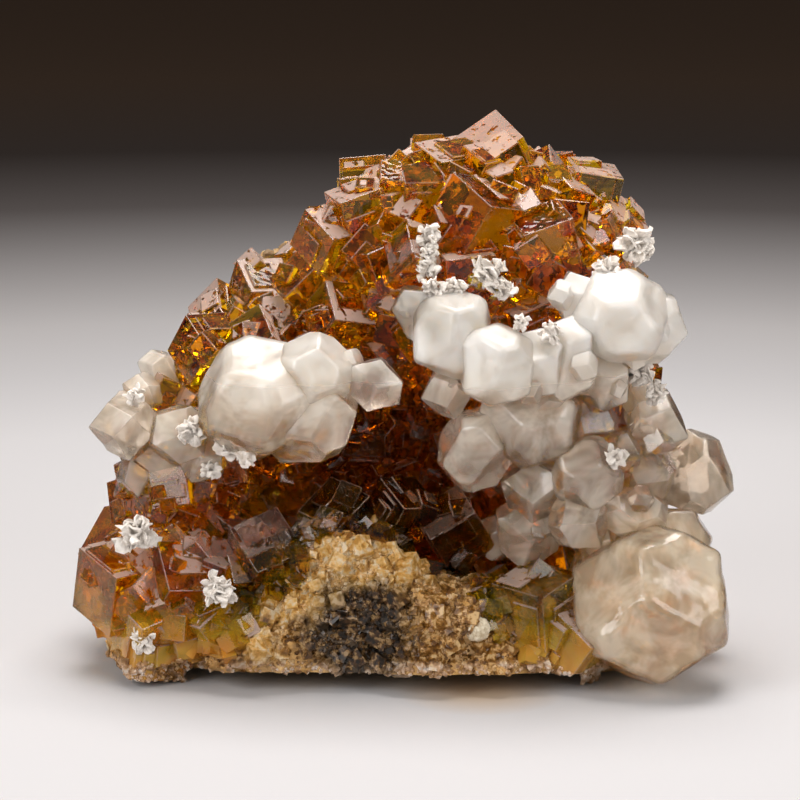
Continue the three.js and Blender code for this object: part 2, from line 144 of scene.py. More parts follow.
# Centre, edge, and turns about X, Y and Z in degrees
LARGE_CUBES = [
    ((-55.5, -14, 17.5), 13.5, (14, 8, 38)),
    ((-43, -21, 20), 12, (38, 20, 15)),
    ((-36, -23, 12), 10.5, (20, -30, 40)),
    ((-49, -20, 8), 12, (5, 12, 25)),
    ((-27, -20, 26), 11, (48, 10, 32)),
    ((-12, -14, 31), 10.5, (35, -12, 50)),
    ((0, -14, 33), 9.5, (20, 25, 35)),
    ((11, -13, 29), 10.5, (30, -25, 20)),
    ((27, -24, 16), 12.5, (12, -4, 52)),
    ((34, -25, 9), 12.5, (22, 28, 48)),
    ((20, -22, 14), 8.5, (40, 8, 12)),
    ((19, 1, 101), 12, (34, -22, 28)),
    ((9.5, -2, 99), 10.5, (16, 4, 30)),
    ((38, 3, 94.5), 10, (8, 12, 8)),
    ((42.5, 1, 87.5), 9.5, (22, 38, 20)),
    ((15, -14, 92), 12, (12, 28, 44)),
    ((28, -13.5, 88), 10.5, (24, -10, 20)),
    ((3, -16, 84), 10, (35, 38, 12)),
    ((13, -18, 81), 10, (6, -3, 12)),
    ((-14, -8, 87), 9.5, (30, 20, 40)),
    ((-8, -7, 92), 9.5, (12, -14, 22)),
    ((-28, -13, 66), 10, (42, -28, 20)),
    ((-38, -10, 65), 10, (28, 24, 32)),
    ((-12, -12, 72), 9.5, (40, 30, 15)),
    ((-19, -6, 77), 8.5, (36, -34, 30)),
    ((-28, 5, 73.5), 10, (30, 15, 20)),
    ((-19, 10, 76), 11, (12, -25, 35)),
    ((-36, 8, 68), 9.5, (24, 40, 10)),
]

# Centre, long axis, half width, half length, spin and the angle of the end faces
CALCITE = {
    "calcite_cluster_right": [
        ((3, -22, 74.5), (-0.35, -0.3, 0.8), 4, 6, 40, 34),
        ((10, -26, 71), (0, 0.12, 1), 7.4, 9, 30, 27),
        ((18.5, -30, 66), (0.12, -0.05, 1), 6.8, 8.6, 30, 27),
        ((26, -27, 65), (0.1, -0.2, 1), 5.8, 8, 12, 34),
        ((33, -26, 66), (0.05, -0.1, 1), 4.6, 9, 20, 40),
        ((34.5, -21, 77), (-0.2, -0.25, 1), 4.2, 6.4, 40, 40),
        ((42.5, -24, 74), (0.3, -0.75, 0.5), 8.8, 8.6, 20, 30),
        ((50, -19, 71), (0.85, -0.3, -0.2), 6.6, 6.6, 5, 36),
        ((40, -19, 60), (0.1, -0.2, 1), 4.6, 6.4, 30, 34),
        ((9.5, -19, 58.5), (-0.5, -0.5, 0.6), 4.6, 5.4, 15, 38),
        ((26, -19, 53), (0.1, -0.35, 1), 9.6, 11, 12, 36),
        ((15, -19, 47), (0.5, -0.25, 0.85), 6.4, 9.8, 45, 36),
        ((36, -17, 52), (0.5, -0.4, 0.7), 5.2, 6.8, 30, 40),
        ((37, -22, 42.5), (0.3, -0.8, 0.35), 6.6, 7, 50, 32),
        ((27, -17, 38.5), (-0.2, -0.5, 0.8), 5.6, 6.8, 22, 34),
        ((25.5, -15, 29.5), (0.05, -0.5, 0.9), 5.8, 7.6, 33, 36),
        ((19.5, -12, 27), (-0.1, -0.1, 1), 3.4, 5, 0, 36),
        ((35, -22, 33), (-0.3, -0.4, 0.85), 5.2, 6.6, 60, 40),
        ((43.5, -16, 46), (0.3, -0.6, 0.8), 4.4, 5.2, 18, 40),
        ((50.5, -13, 50.5), (0.5, -0.6, 0.6), 5.4, 6.2, 42, 34),
        ((49, -15, 41), (0.2, -0.5, 0.9), 5.2, 6, 8, 36),
        ((47, -11, 56), (0.4, -0.4, 0.8), 4, 5, 27, 40),
        ((59, -5, 38.5), (-0.3, -0.15, 1), 6.2, 9.4, 14, 36),
        ((46, -19, 34), (0.2, -0.3, 0.9), 6.6, 6, 30, 30),
        ((40, -17, 30), (-0.3, -0.5, 0.7), 5, 6.2, 52, 36),
        ((48.7, -25, 17), (-0.08, -0.92, 0.3), 14.6, 15, 30, 33),
        ((39.5, -19, 22), (-0.5, -0.6, 0.6), 5.6, 7, 38, 38),
        ((55.5, -15, 27), (0.4, -0.2, 0.9), 6.2, 7.4, 16, 36),
    ],
    "calcite_group_left": [
        ((-27.5, -24, 58.5), (-0.45, -0.6, 0.55), 11, 11.6, 30, 33),
        ((-16.5, -26, 64), (0.2, -0.6, 0.75), 6.8, 7.2, 30, 32),
        ((-19, -24, 54), (0.9, -0.3, 0.1), 7.6, 12, 25, 38),
        ((-5, -25, 61), (0.3, -0.2, 0.9), 5.2, 5.8, 28, 36),
        ((-10, -24, 65), (0.2, -0.4, 0.9), 2.6, 3.4, 0, 40),
    ],
    "calcite_group_edge": [
        ((-54, -16, 51), (-0.45, -0.4, 0.8), 5.4, 6.6, 12, 36),
        ((-43.5, -20, 50), (0.25, -0.8, 0.2), 5.4, 5.8, 34, 30),
        ((-38.5, -19, 45), (0.3, -0.3, 0.9), 4, 5.4, 20, 38),
        ((-51, -14, 41.5), (0.4, -0.2, 0.9), 4, 6.4, 48, 40),
        ((-51, -12, 56.5), (-0.1, -0.2, 1), 3.2, 4.2, 5, 38),
        ((-47, -15, 45), (-0.1, -0.8, 0.5), 5, 5.6, 27, 36),
    ],
    "calcite_crystal_behind": [
        ((-48, 0, 58), (-0.3, 0, 1), 3.4, 5.4, 10, 36),
    ],
}
CALCITE_ROUND = (0.07, 0.16)  # width of a crystal's rounded edges, as a share of its half width
CALCITE_SHARP = 38  # edges that turn more than this, in degrees, are creases
EVEN_WEIGHT = 70  # above 50, large faces decide how the edges are shaded
FLAT = math.radians(1)  # triangles that turn less than this are one face
SMALL_CALCITES = 20  # small crystals grown between the large ones of the right cluster
SMALL_HOSTS = 25  # on the first so many of its crystals, not the large cream one
SMALL_WIDTH = (1.2, 2.8)  # their half widths
SMALL_LENGTH = (1.2, 1.8)  # half lengths, as a share of the half width
SMALL_CAP = (30, 45)  # angles of the end faces
SMALL_OUT = (0.88, 1.0)  # distance from the host's middle, as a share of its half width
WAVE_SIZE = 0.17  # waves per mm on the faces of the calcites
WAVE = 0.45  # and their height, in mm
WAVE_PIECE = 2.2  # edges longer than this are divided for them,
WAVE_ROUNDS = 3  # at most so many times

# Tufts that are too fine for the part's own solids: centre and reach
CRUSTS = [
    ((40, -21, 82.5), 3.2),
    ((-33, -25, 49.5), 3.8),
    ((29, -31, 72.5), 2.6),
    ((42, -25, 47), 2.8),
    ((-40.5, -24.5, 51.5), 3.4),
    ((-52, -19, 57.5), 2.4),
    ((50, -18, 58), 2.6),
    ((-37, -22, 43.5), 2.6),
    ((23, -29, 74), 2.2),
    ((5.4, -21.5, 86.4), 2.2),
    ((6.5, -25, 79.8), 2.8),
    ((-30, -29, 47.5), 2.4),
    ((20, -23, 79.5), 3.2),
    ((47, -17, 62), 3.2),
]

# The part's own tufts: centre and reach
TUFTS = [
    ((5.2, -21.5, 83.2), 3),
    ((5.6, -20.5, 89.6), 2.8),
    ((17, -22, 82.5), 4.2),
    ((46.5, -10, 86), 4.4),
    ((-51.3, -25, 31), 4.6),
    ((-35.5, -29.5, 21), 4),
    ((-50.5, -27.5, 10.5), 3.2),
    ((11, -24.5, 79.6), 3),
]
NODULE = ((15, -31.2, 13.5), (2.6, 1.6, 2.5))  # centre and radii

SEED_STEP = 977
state = SEED


def random():
    """The next number from 0 to 1 of the part's own series."""
    global state
    state = state * 16807 % 2147483647
    return state / 2147483647


def restart(number):
    """Starts the series anew for one piece, whatever was drawn before."""
    global state
    state = SEED + SEED_STEP * number
    for _ in range(4):
        random()


def scattered(x=0.5, y=0.5, z=0.5):
    """A random vector; each number starts at minus its argument and spans 1."""
    return Vector((random() - x, random() - y, random() - z))


def between(low, high):
    return low + (high - low) * random()


def wobble(at, i):
    """A number between -1 and 1 that only depends on the place and the count."""
    x, y, z = at
    return math.sin(12.9 * i + 1.7 * x + 2.3 * y + 3.1 * z)


def directions(count):
    """Directions spread evenly over a ball."""
    golden = math.pi * (3 - math.sqrt(5))
    found = []
    for i in range(count):
        z = 1 - (2 * i + 1) / count
        across = math.sqrt(1 - z * z)
        found.append(Vector((math.cos(golden * i) * across, math.sin(golden * i) * across, z)))
    return found


# Mesh building


def placed(name, data):
    """A new object in the scene."""
    made = bpy.data.objects.new(name, data)
    bpy.context.scene.collection.objects.link(made)
    return made


def new_object(name, bm):
    """A new object in metres from a bmesh in millimetres, which is freed."""
    bmesh.ops.scale(bm, vec=(MM,) * 3, verts=bm.verts)
    mesh = bpy.data.meshes.new(name)
    bm.to_mesh(mesh)
    bm.free()
    return placed(name, mesh)


def apply_modifiers(piece):
    """Replaces a piece's mesh by its mesh with the modifiers applied."""
    graph = bpy.context.evaluated_depsgraph_get()
    mesh = bpy.data.meshes.new_from_object(piece.evaluated_get(graph))
    old = piece.data
    piece.modifiers.clear()
    piece.data = mesh
    mesh.name = piece.name
    bpy.data.meshes.remove(old)


def remove(piece):
    mesh = piece.data
    bpy.data.objects.remove(piece)
    bpy.data.meshes.remove(mesh)


def combine(first, others, operation):
    """Joins or cuts one closed mesh with others, in place, and removes the others."""
    tools = bpy.data.collections.new("tools")
    for other in others:
        tools.objects.link(other)
    cut = first.modifiers.new("combine", "BOOLEAN")
    cut.operation = operation
    cut.solver = "MANIFOLD"
    cut.operand_type = "COLLECTION"
    cut.collection = tools
    apply_modifiers(first)
    bpy.data.collections.remove(tools)
    for other in others:
        remove(other)
    return first


def union(pieces):
    return combine(pieces[0], pieces[1:], "UNION")


def ball(name, at, radius, subdivisions):
    bm = bmesh.new()
    bmesh.ops.create_icosphere(bm, subdivisions=subdivisions, radius=1)
    bmesh.ops.scale(bm, vec=radius, verts=bm.verts)
    bmesh.ops.translate(bm, vec=at, verts=bm.verts)
    return new_object(name, bm)


def arch():
    """The wedge that lifts the front of the underside between the two feet."""
    bm = bmesh.new()
    low = -ARCH_RISE
    outline = [(ARCH_FRONT, low), (ARCH_BACK, low), (ARCH_BACK, 0), (ARCH_FRONT, ARCH_RISE)]
    corners = [Vector((x, y, z)) for x in (ARCH_LEFT, ARCH_RIGHT) for y, z in outline]
    bmesh.ops.convex_hull(bm, input=[bm.verts.new(c) for c in corners])
    bmesh.ops.recalc_face_normals(bm, faces=bm.faces)
    return new_object("arch", bm)


def cut_underside(piece):
    """Cuts a piece off flat at the table and along the arch."""
    bm = bmesh.new()
    bmesh.ops.create_cube(bm, size=1)
    bmesh.ops.scale(bm, vec=(2 * REACH, 2 * REACH, REACH), verts=bm.verts)
    bmesh.ops.translate(bm, vec=(0, 0, -REACH / 2), verts=bm.verts)
    return combine(piece, [new_object("below", bm), arch()], "DIFFERENCE")


def hull(points):
    bm = bmesh.new()
    made = bmesh.ops.convex_hull(bm, input=[bm.verts.new(p) for p in points])
    loose = [g for g in made["geom_interior"] if isinstance(g, bmesh.types.BMVert)]
    bmesh.ops.delete(bm, geom=loose, context="VERTS")
    bmesh.ops.recalc_face_normals(bm, faces=bm.faces)
    return bm


def add_mesh(bm, other):
    """Adds one bmesh to another and frees it."""
    mesh = bpy.data.meshes.new("part")
    other.to_mesh(mesh)
    other.free()
    bm.from_mesh(mesh)
    bpy.data.meshes.remove(mesh)


def displaced(piece, height):
    """Moves each vertex along its normal by height(point in mm), in mm."""
    mesh = piece.data
    normals = [v.normal.copy() for v in mesh.vertices]
    for vertex, normal in zip(mesh.vertices, normals):
        vertex.co += normal * (height(vertex.co / MM) * MM)
    mesh.update()


# Fluorite


def reach_in(lump, p):
    """Distance from a lump's centre, as a share of its radius on that side."""
    at, radius, _ = lump
    return math.sqrt(sum(((p[k] - at[k]) / radius[k]) ** 2 for k in range(3)))


def random_turn():
    a = random()
    b = 2 * math.pi * random()
    c = 2 * math.pi * random()
    short = math.sqrt(1 - a)
    long = math.sqrt(a)
    x, y, z = short * math.sin(b), short * math.cos(b), long * math.sin(c)
    return Quaternion((long * math.cos(c), x, y, z))


def is_bare_rock(p, outward):
    on_front = any(reach_in(r, p) < BARE for r in ROCK_FRONT)
    return p.z < 1 or on_front or (p.y > BACK_LIMIT and p.z < BACK_TOP and outward.y > 0)


def is_under_calcite(p, share):
    groups = ("calcite_cluster_right", "calcite_group_left", "calcite_group_edge")
    return any((Vector(c[0]) - p).length < c[2] * share for g in groups for c in CALCITE[g])


def turned(turn):
    x, y, z = (Matrix.Rotation(math.radians(angle), 3, axis) for angle, axis in zip(turn, "XYZ"))
    return (x @ y @ z).to_quaternion()


def surface_places(own, count):
    """Candidates on one lump: point, outward direction and whether another lump buries it."""
    at, radius, _ = own
    for d in directions(count):
        p = Vector(at) + Vector(d[k] * radius[k] for k in range(3))
        outward = Vector(d[k] / radius[k] for k in range(3)).normalized()
        yield p, outward, any(reach_in(lump, p) < BURIED for lump in FLUORITE if lump is not own)


def place_cubes(cubes, tries, edge_at, spacing, sink, hidden):
    """Adds a cube (centre, edge and turn) wherever one finds room on the lumps."""
    for own in FLUORITE:
        for p, outward, buried in surface_places(own, tries):
            edge = edge_at(p, own[2])
            turn = random_turn()
            if buried or is_bare_rock(p, outward) or is_under_calcite(p, hidden):
                continue
            place = p - outward * (sink * edge)
            if all((at - place).length > spacing * (e + edge) / 2 for at, e, _ in cubes):
                cubes.append((place, edge, turn))
    return cubes


def cube_places():
    """The part's own cubes."""

    def edge_at(p, edges):
        return between(*edges) * (1 + max(0, p.y) / COARSER_BEHIND)

    cubes = [(Vector(at), edge, turned(turn)) for at, edge, turn in LARGE_CUBES]
    return place_cubes(cubes, CANDIDATES, edge_at, CUBE_SPACING, CUBE_SINK, HIDDEN)


def fill_places(cubes):
    """Small cubes between the part's own."""

    def edge_at(p, edges):
        return between(*edges) * between(*FILL_EDGE)

    ridge = [(Vector(at), edge, random_turn()) for at, edge in RIDGE_CUBES]
    both = place_cubes(
        cubes + ridge, FILL_CANDIDATES, edge_at, FILL_SPACING, FILL_SINK, FILL_HIDDEN
    )
    return both[len(cubes) :]


def worn(bm, width, segments, **options):
    """Rounds all edges of a mesh."""
    edges = bm.edges[:]
    bmesh.ops.bevel(
        bm, geom=edges, offset=width, segments=segments, profile=0.5, affect="EDGES", **options
    )


def cube_block(size, middle, at, turn, segments):
    """A block of a cube, with its middle shifted in the cube's own axes."""
    bm = bmesh.new()
    bmesh.ops.create_cube(bm, size=1)
    bmesh.ops.scale(bm, vec=size, verts=bm.verts)
    worn(bm, EDGE_ROUND, segments)
    matrix = Matrix.Translation(at) @ turn.to_matrix().to_4x4() @ Matrix.Translation(middle)
    bmesh.ops.transform(bm, matrix=matrix, verts=bm.verts)
    bmesh.ops.triangulate(bm, faces=bm.faces)
    return new_object("block", bm)


def cube_solids(cubes, steps):
    """Each cube with thin growth blocks on its faces."""
    solids = []
    for at, edge, turn in cubes:
        solids.append(cube_block((edge,) * 3, Vector(), at, turn, 2 if edge > ROUNDER_FROM else 1))
        for _ in range(steps):
            axis = int(random() * 3)
            side = 1 if random() < 0.5 else -1
            size = [edge * between(*STEP_SIZE) for _ in range(3)]
            rise = edge * between(*STEP_RISE)
            size[axis] = edge * 0.5
            middle = Vector(between(-0.5, 0.5) * (edge * 1.04 - size[k]) for k in range(3))
            middle[axis] = side * (edge / 2 + rise - size[axis] / 2)
            solids.append(cube_block(size, middle, at, turn, 1))
    return solids


def rider_places(cubes):
    """Small cubes half out of the faces and edges of the part's own cubes."""
    riders = []
    for at, edge, turn in cubes:
        for _ in range(RIDERS):
            out = scattered(*RIDER_SIDES)
            across = turn.inverted() @ out.normalized()
            across /= max(abs(c) for c in across)
            place = at + turn @ (across * edge * between(*RIDER_PROUD))
            size = edge * between(*RIDER_EDGE)
            lean = turn @ Quaternion((1, *(twist * (random() - 0.5) for twist in RIDER_TWIST)))
            spun = random_turn()
            leaning = random() < LEANING
            if place.z + 0.6 * size < RIDER_TOP:
                riders.append((place, size, lean.normalized() if leaning else spun))
    return riders


def fluorite_cluster(cubes):
    fill = fill_places(cubes)
    riders = rider_places(cubes)
    solids = [ball("ground", at, Vector(radius) * GROUND_SHARE, 2) for at, radius, _ in FLUORITE]
    solids += cube_solids(cubes, STEPS)
    solids += cube_solids(fill + riders, 1)
    cluster = union(solids)
    cluster.name = "fluorite_cubes"
    cluster = cut_underside(cluster)
    number_faces(cluster)
    return cluster


# Calcite


def leaning_plane(side, lean, distance):
    side, lean = math.radians(side), math.radians(lean)
    out = math.sin(lean)
    return Vector((out * math.cos(side), out * math.sin(side), math.cos(lean))), distance


def calcite_planes(at, width, length, spin, cap):
    planes = []

    def add_face(side, lean, distance):
        i = len(planes)
        turn = TILTED * wobble(at, 2 * i)
        tilt = TILTED * wobble(at, 2 * i + 1)
        reach = distance * (1 + UNEVEN * wobble(at, i + 0.5))
        planes.append(leaning_plane(side + turn, lean + tilt, reach))

    def at_rim(lean):
        rim = length - width * RIM_DROP
        return width * math.sin(math.radians(lean)) + rim * math.cos(math.radians(lean))

    for k in range(6):
        side = 60 * k + spin
        top = k % 2 == 0
        end, shoulder = (cap, 180 - SHOULDER_LEAN) if top else (180 - cap, SHOULDER_LEAN)
        add_face(side + 30, 90 + (BARREL_LEAN if top else -BARREL_LEAN), width)
        add_face(side, end, length * math.cos(math.radians(cap)))
        if width >= PLAIN_WIDTH:
            share = FOOT_SHARE if top else SHOULDER_SHARE
            add_face(side, shoulder, at_rim(SHOULDER_LEAN) * share)
    return planes


def polyhedron_corners(planes):
    """The corners of the convex solid inside a list of planes."""
    corners = []
    for i, (a, da) in enumerate(planes):
        for j in range(i + 1, len(planes)):
            b, db = planes[j]
            for k in range(j + 1, len(planes)):
                c, dc = planes[k]
                bc = b.cross(c)
                determinant = a.dot(bc)
                if abs(determinant) < 1e-6:
                    continue
                p = (bc * da + c.cross(a) * db + a.cross(b) * dc) / determinant
                if all(n.dot(p) <= d + 1e-5 for n, d in planes):
                    corners.append(p)
    return corners


def calcite_crystal(at, axis, width, length, spin, cap):
    corners = polyhedron_corners(calcite_planes(at, width, length, spin, cap))
    along = Vector((0, 0, 1)).rotation_difference(Vector(axis))
    return hull([along @ p + Vector(at) for p in corners])


def small_calcites(crystals):
    """Small crystals around the waists of the large ones."""
    made = []
    for _ in range(SMALL_CALCITES):
        host = crystals[int(random() * len(crystals))]
        around = Vector((random() - 0.5, -0.2 - 0.5 * random(), random() - 0.5)).normalized()
        width = between(*SMALL_WIDTH)
        at = Vector(host[0]) + around * (host[2] * between(*SMALL_OUT))
        axis = around + scattered(z=0.2)
        length = width * between(*SMALL_LENGTH)
        made.append((tuple(at), tuple(axis), width, length, 60 * random(), between(*SMALL_CAP)))
    return made


def uneven_faces(bm, centre):
    """Slight swells and hollows on the faces of a crystal, as growth leaves them."""
    for _ in range(WAVE_ROUNDS):
        long_edges = [edge for edge in bm.edges if edge.calc_length() > WAVE_PIECE]
        if not long_edges:
            break
        bmesh.ops.subdivide_edges(bm, edges=long_edges, cuts=1)
        bmesh.ops.triangulate(bm, faces=bm.faces)
    for v in bm.verts:
        out = (v.co - centre).normalized()
        p = v.co * WAVE_SIZE
        v.co += out * (WAVE * (noise.noise(p) + 0.4 * noise.noise(p * 2.7)))


def calcite_group(name, crystals):
    """Blunt crystals with rounded edges, grown together, with smaller ones between them."""
    extra = small_calcites(crystals[:SMALL_HOSTS]) if name == "calcite_cluster_right" else []
    solids = []
    for crystal in crystals + extra:
        bm = calcite_crystal(*crystal)
        bmesh.ops.dissolve_limit(bm, angle_limit=FLAT, verts=bm.verts, edges=bm.edges)
        worn(bm, crystal[2] * between(*CALCITE_ROUND), 3, clamp_overlap=True)
        bmesh.ops.triangulate(bm, faces=bm.faces)
        uneven_faces(bm, Vector(crystal[0]))
        solids.append(new_object("crystal", bm))
    piece = union(solids)
    piece.name = name.replace("calcite", "pale_calcite")
    smooth_faces(piece)
    return piece


def smooth_faces(piece):
    """Smooth shading over rounded edges that keeps large faces flat and creases sharp."""
    piece.data.shade_smooth()
    piece.data.set_sharp_from_angle(angle=math.radians(CALCITE_SHARP))
    even = piece.modifiers.new("even", "WEIGHTED_NORMAL")
    even.keep_sharp = True
    even.weight = EVEN_WEIGHT
    apply_modifiers(piece)


# Rock


def boulder(at, radius, corners):
    points = []
    for i, d in enumerate(directions(corners)):
        push = 1 + ROCK_ROUGHNESS * wobble(at, i)
        points.append(Vector(at[k] + d[k] * radius[k] * push for k in range(3)))
    return hull(points)


ROCK_VOXEL = 0.7  # grid of the rock's skin
DARK_PATCH = (-7.5, -31, 12.5)  # the middle of the grey-black hollow in the front of the rock
DARK_REACH = (7.5, 13.5, 14)  # fully dark within, gone outside, and how ragged its edge is
BROWN_PATCH = (13, -28, 10)  # the middle of the brown part right of the nodule
BROWN_REACH = (12, 20, 12)  # as for the dark one
HOLLOW = 3  # how deep the dark hollow is in its middle
HOLLOW_REACH = 11  # and how far it reaches
FOOT_EASE = 5  # below this height the rock's ledges and pits fade
FRONT_Y = -8  # where the front of the rock ends and its sides begin
GRAINS = 6500  # sugary grains on the front of the rock
GRAIN = (0.45, 1.5)  # their edges
LUMPS = 420  # coarser blocks among them
LUMP = (1.5, 4.4)  # their edges
LUMP_LOWEST = 6  # none of them lies lower
LUMP_SINK = 0.33  # how deep they sit, as a share of the edge
GRAIN_SINK = 0.08  # and how deep the grains do
BACK_GRAINS = 9000  # grains on its sides and its back
BACK_GRAIN = (0.8, 2.6)
BACK_SINK = 0.2
FOOT_GRAINS = 1500  # grains on the lowest edge of the fluorite
FOOT_HEIGHT = 5  # how high they reach, give or take
FOOT_END = 46  # x where the large calcite crystal hides the foot
CRUMBS = 700  # amber cubes along the edge of the crust
CRUMB = (1.0, 3.6)  # their edges
CRUMB_REACH = 4.5  # how far from a cube of the crust they grow
CRUMB_LOWEST = 7  # and how low
CRUMB_PROUD = 0.2  # how far their centres lie off the rock, as a share of the edge


def rock_height(p):
    """Broken ledges, pits and a sugary grain."""
    ledge = 2.6 * (0.35 - abs(noise.noise(p * 0.17 + Vector((3, 9, 1)))))
    ledge = 2.4 * noise.noise(p * 0.09) + ledge
    pits = 1.2 * noise.noise(p * 0.45) + 0.9 * (0.5 - noise.voronoi(p * 0.4)[0][0])
    hollow = HOLLOW * max(0.0, 1 - (p - Vector(DARK_PATCH)).length / HOLLOW_REACH)
    return (ledge + pits - hollow) * min(1.0, max(0.0, p.z / FOOT_EASE))


CUBE_CORNERS = [Vector((x, y, z)) / 2 for x in (-1, 1) for y in (-1, 1) for z in (-1, 1)]
CUBE_FACES = [(0, 1, 3, 2), (4, 6, 7, 5), (0, 4, 5, 1), (2, 3, 7, 6), (0, 2, 6, 4), (1, 5, 7, 3)]


def block_cloud(name, blocks):
    """One mesh of many small closed blocks, given by centre, three sizes and turn."""
    points = []
    faces = []
    for at, size, turn in blocks:
        first = len(points)
        for corner in CUBE_CORNERS:
            points.append((at + turn @ Vector(corner[k] * size[k] for k in range(3))) * MM)
        faces += [tuple(first + i for i in face) for face in CUBE_FACES]
    mesh = bpy.data.meshes.new(name)
    mesh.from_pydata(points, [], faces)
    mesh.update()
    return placed(name, mesh)


def surface_spots(piece, count, wanted):
    """Points spread evenly over a piece, in mm, where wanted(point, normal) holds."""
    mesh = piece.data
    mesh.calc_loop_triangles()
    corners = [v.co / MM for v in mesh.vertices]
    areas = []
    total = 0
    # Booleans leave the triangles in an order that may change from run to run

    def place(triangle):
        return tuple(round(c / MM, 2) for c in triangle.center)

    for triangle in sorted(mesh.loop_triangles, key=place):
        a, b, c = (corners[i] for i in triangle.vertices)
        normal = (b - a).cross(c - a)
        size = normal.length
        if size > 1e-9 and any(wanted(p, normal / size) for p in (a, b, c, (a + b + c) / 3)):
            total += size
            areas.append((total, a, b, c, normal / size))
    ends = [entry[0] for entry in areas]
    found = []
    while len(found) < count:
        _, a, b, c, normal = areas[min(bisect.bisect_left(ends, random() * total), len(areas) - 1)]
        u, v = random(), random()
        if u + v > 1:
            u, v = 1 - u, 1 - v
        p = a + (b - a) * u + (c - a) * v
        if wanted(p, normal):
            found.append((p, normal))
    return found


def amber_crumbs(rock, cubes):
    """Broken amber cubes, smaller than the crust's own, where it thins out over the rock."""
    tree = kdtree.KDTree(len(cubes))
    for i, (at, _, _) in enumerate(cubes):
        tree.insert(at, i)
    tree.balance()

    def beside_cube(p, normal):
        _, i, gap = tree.find(p)
        return p.y < 0 and p.z > CRUMB_LOWEST and gap - cubes[i][1] / 2 < CRUMB_REACH

    blocks = []
    for p, normal in surface_spots(rock, CRUMBS, beside_cube):
        size = between(*CRUMB)
        blocks.append((p + normal * (size * CRUMB_PROUD), (size,) * 3, random_turn()))
    crumbs = block_cloud("amber_crumbs", blocks)
    number_faces(crumbs)
    return crumbs


def grain(p, normal, size, sink):
    """A flattish block that is sunk into a surface by a share of its size."""
    sides = (size, size * between(0.6, 1), size * between(0.6, 1))
    return p - normal * (size * sink), sides, random_turn()


def sugar_grains(rock, crust):
    """Small rough blocks on the front of the rock and along the foot of the crust."""

    def on_rock(p, normal):
        return p.y < FRONT_Y and p.z > 0.6 and normal.y < 0.15 and normal.z > -0.5

    def on_foot(p, normal):
        height = p.z + 3 * noise.noise(p * 0.2) + 1.5 * noise.noise(p * 0.8)
        in_front = p.y < -12 and normal.y < 0.2 and p.x < FOOT_END
        return in_front and p.z > 0.4 and height < FOOT_HEIGHT

    def raised(p, normal):
        return on_rock(p, normal) and p.z > LUMP_LOWEST

    spots = surface_spots(rock, GRAINS, on_rock) + surface_spots(crust, FOOT_GRAINS, on_foot)
    lumps = surface_spots(rock, LUMPS, raised)
    blocks = [grain(p, normal, between(*LUMP), LUMP_SINK) for p, normal in lumps]
    for p, normal in spots:
        coarse = 0.75 + 1.1 * max(0.0, noise.noise(p * 0.14)) + 0.3 * min(1, p.z / 25)
        size = between(*GRAIN) * (0.5 + 0.4 * random()) * coarse
        blocks.append(grain(p, normal, size, GRAIN_SINK))
    return block_cloud("sugar_grains", blocks)


def back_grains(rock):
    """Coarser grains on the sides and the back of the rock."""

    def on_back(p, normal):
        return p.y >= FRONT_Y and p.z > 1 and normal.z > -0.6

    blocks = []
    for p, normal in surface_spots(rock, BACK_GRAINS, on_back):
        size = between(*BACK_GRAIN) * (0.6 + 0.6 * max(0.0, noise.noise(p * 0.1)))
        blocks.append(grain(p, normal, size, BACK_SINK))
    return block_cloud("back_grains", blocks)


def matrix_rock():
    """The boulders fused into one fine even skin, with its pits, cut off flat underneath."""
    bm = bmesh.new()
    for rock in ROCK_FRONT + ROCK_BACK:
        add_mesh(bm, boulder(*rock))
    piece = new_object("broken_rock", bm)
    skin = piece.modifiers.new("skin", "REMESH")
    skin.mode = "VOXEL"
    skin.voxel_size = ROCK_VOXEL * MM
    soften = piece.modifiers.new("soften", "SMOOTH")
    soften.factor = 0.5
    soften.iterations = 1
    apply_modifiers(piece)
    displaced(piece, rock_height)
    cut_underside(piece)
    return piece


# Tufts, nodule


ROOT_PETALS = 9  # plates of a tuft that reach down to its crystal
PETAL_RINGS = 2  # rings of points of a plate
PETAL_SIDES = 8  # points of a ring
PETAL_SIZE = (0.22, 0.4)  # radius of a plate, as a share of the reach of its tuft
PETAL_THICK = (0.4, 0.8)


def around(ring):
    """Each point of a ring with the next."""
    return zip(ring, ring[1:] + ring[:1])


def petal(middle, facing, size):
    """A thin curled plate with an uneven outline, as a closed mesh."""
    across = facing.orthogonal().normalized()
    up = facing.cross(across)
    thickness = between(*PETAL_THICK)
    curl, twist = size * between(0.2, 0.6), size * between(-0.4, 0.4)
    start = Vector((10 * random(), 10 * random(), 0))
    bm = bmesh.new()
    layers = []
    for side in (0.5, -0.5):
        centre = bm.verts.new(middle + facing * (side * thickness))
        rings = []
        for ring in range(1, PETAL_RINGS + 1):
            row = []
            for k in range(PETAL_SIDES):
                angle = 2 * math.pi * k / PETAL_SIDES
                on_ring = Vector((math.cos(angle), math.sin(angle), 0))
                share = (0.9 + 0.6 * noise.noise(start + on_ring * 1.3)) * ring / PETAL_RINGS
                u, v = share * math.cos(angle), share * math.sin(angle)
                crumple = 0.12 * size * noise.noise(start + Vector((u, v, 1)) * 3)
                lift = curl * u * u + twist * u * v + crumple + thickness * side * (1 - 0.5 * share)
                row.append(bm.verts.new(middle + (across * u + up * v) * size + facing * lift))
            rings.append(row)
        layers.append((centre, rings))
    pairs = [(layers[0][1][-1], layers[1][1][-1])]
    for centre, rings in layers:
        pairs += zip(rings, rings[1:])
        for a, b in around(rings[0]):
            bm.faces.new((centre, a, b))
    for one, other in pairs:
        for (a, b), (c, d) in zip(around(one), around(other)):
            bm.faces.new((a, c, d))
            bm.faces.new((a, d, b))
    bmesh.ops.recalc_face_normals(bm, faces=bm.faces)
    return bm


